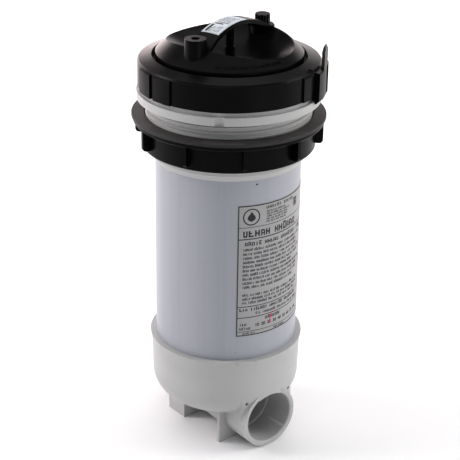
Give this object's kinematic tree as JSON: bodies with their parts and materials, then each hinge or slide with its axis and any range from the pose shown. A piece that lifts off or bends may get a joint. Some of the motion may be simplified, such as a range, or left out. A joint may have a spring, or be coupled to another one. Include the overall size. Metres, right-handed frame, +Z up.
{
  "type": "cartridge filter housing",
  "caption": "Upright top-load spa filter housing: white tube between a base with in-line pipe sockets and a threaded collar, with a black deck nut, lock ring and domed handled lid.",
  "frame": {"origin": "on the housing's axis, in the plane that the feet stand on", "axes": "+Z up along the tube's axis, -Y out of the inlet socket's mouth, +X to the right of someone who faces that socket"},
  "size_m": [0.209, 0.209, 0.4803],
  "materials": {
    "white_abs": "satin moulded, warm light grey-white",
    "white_tube": "extruded, smooth, cool white",
    "label_vinyl": "printed, flat",
    "black_abs": "satin to gloss, fine moulded grain",
    "tab_nylon": "satin olive grey",
    "pin_steel": "drawn wire",
    "seal_rubber": "matt",
    "cap_urethane": "cast, soft",
    "core_plastic": "moulded",
    "filter_fabric": "spun-bonded polyester",
    "valve_plastic": "moulded",
    "spring_steel": "drawn stainless wire"
  },
  "bodies": {
    "housing": {"base_cap": "white_abs", "filter_body": "white_tube", "threaded_collar": "white_abs", "body_label": "label_vinyl", "cartridge_bottom_cap": "cap_urethane", "cartridge_top_cap": "cap_urethane", "cartridge_core": "core_plastic", "cartridge_media": "filter_fabric", "bypass_seat": "valve_plastic", "bypass_cage": "valve_plastic", "bypass_spring": "spring_steel"},
    "bypass_poppet": {"bypass_poppet": "valve_plastic"},
    "deck_gasket": {"mounting_gasket": "seal_rubber"},
    "deck_nut": {"mounting_nut": "black_abs"},
    "lid": {"lid": "black_abs", "lid_oring": "seal_rubber", "lid_label": "label_vinyl"},
    "lock_ring": {"lock_ring": "black_abs", "lock_tab_pin": "pin_steel"},
    "lock_tab": {"lock_tab": "tab_nylon"},
    "relief_oring": {"air_relief_oring": "seal_rubber"},
    "relief_screw": {"air_relief_screw": "black_abs"}
  },
  "joints": [
    {"name": "deck_nut_turn", "type": "hinge", "parent": "deck_gasket", "child": "deck_nut", "pos_m": [0, 0, 0.36], "axis": [0, 0, 1], "range_deg": [0, 1080]},
    {"name": "deck_gasket_rise", "type": "slide", "parent": "housing", "child": "deck_gasket", "axis": [0, 0, 1], "range_m": [0, 0.01651]},
    {"name": "lock_ring_turn", "type": "hinge", "parent": "lid", "child": "lock_ring", "pos_m": [0, 0, 0.42], "axis": [0, 0, 1], "range_deg": [0, 1260]},
    {"name": "lid_rise", "type": "slide", "parent": "housing", "child": "lid", "axis": [0, 0, 1], "range_m": [0, 0.02101]},
    {"name": "lock_tab_swing", "type": "hinge", "parent": "lock_ring", "child": "lock_tab", "pos_m": [0.06249, -0.07998, 0.431], "axis": [-0.788, -0.6157, 0], "range_deg": [0, 8], "stiffness_Nm_per_rad": 0.08, "springref_deg": -2.86},
    {"name": "relief_screw_turn", "type": "hinge", "parent": "relief_oring", "child": "relief_screw", "pos_m": [0.05817, 0.01734, 0.46], "axis": [0, 0, 1], "range_deg": [0, 720]},
    {"name": "relief_rise", "type": "slide", "parent": "lid", "child": "relief_oring", "axis": [0, 0, 1], "range_m": [0, 0.00301]},
    {"name": "bypass_travel", "type": "slide", "parent": "housing", "child": "bypass_poppet", "axis": [0, 0, -1], "range_m": [0, 0.006], "stiffness_N_per_m": 100, "springref_m": -0.005, "deforming": ["bypass_spring"]}
  ],
  "couplings": [
    {"joint": "deck_gasket_rise", "follows": "deck_nut_turn", "m_per_rad": 0.00087535},
    {"joint": "lid_rise", "follows": "lock_ring_turn", "m_per_rad": 0.00095493},
    {"joint": "relief_rise", "follows": "relief_screw_turn", "m_per_rad": 0.00023873}
  ]
}
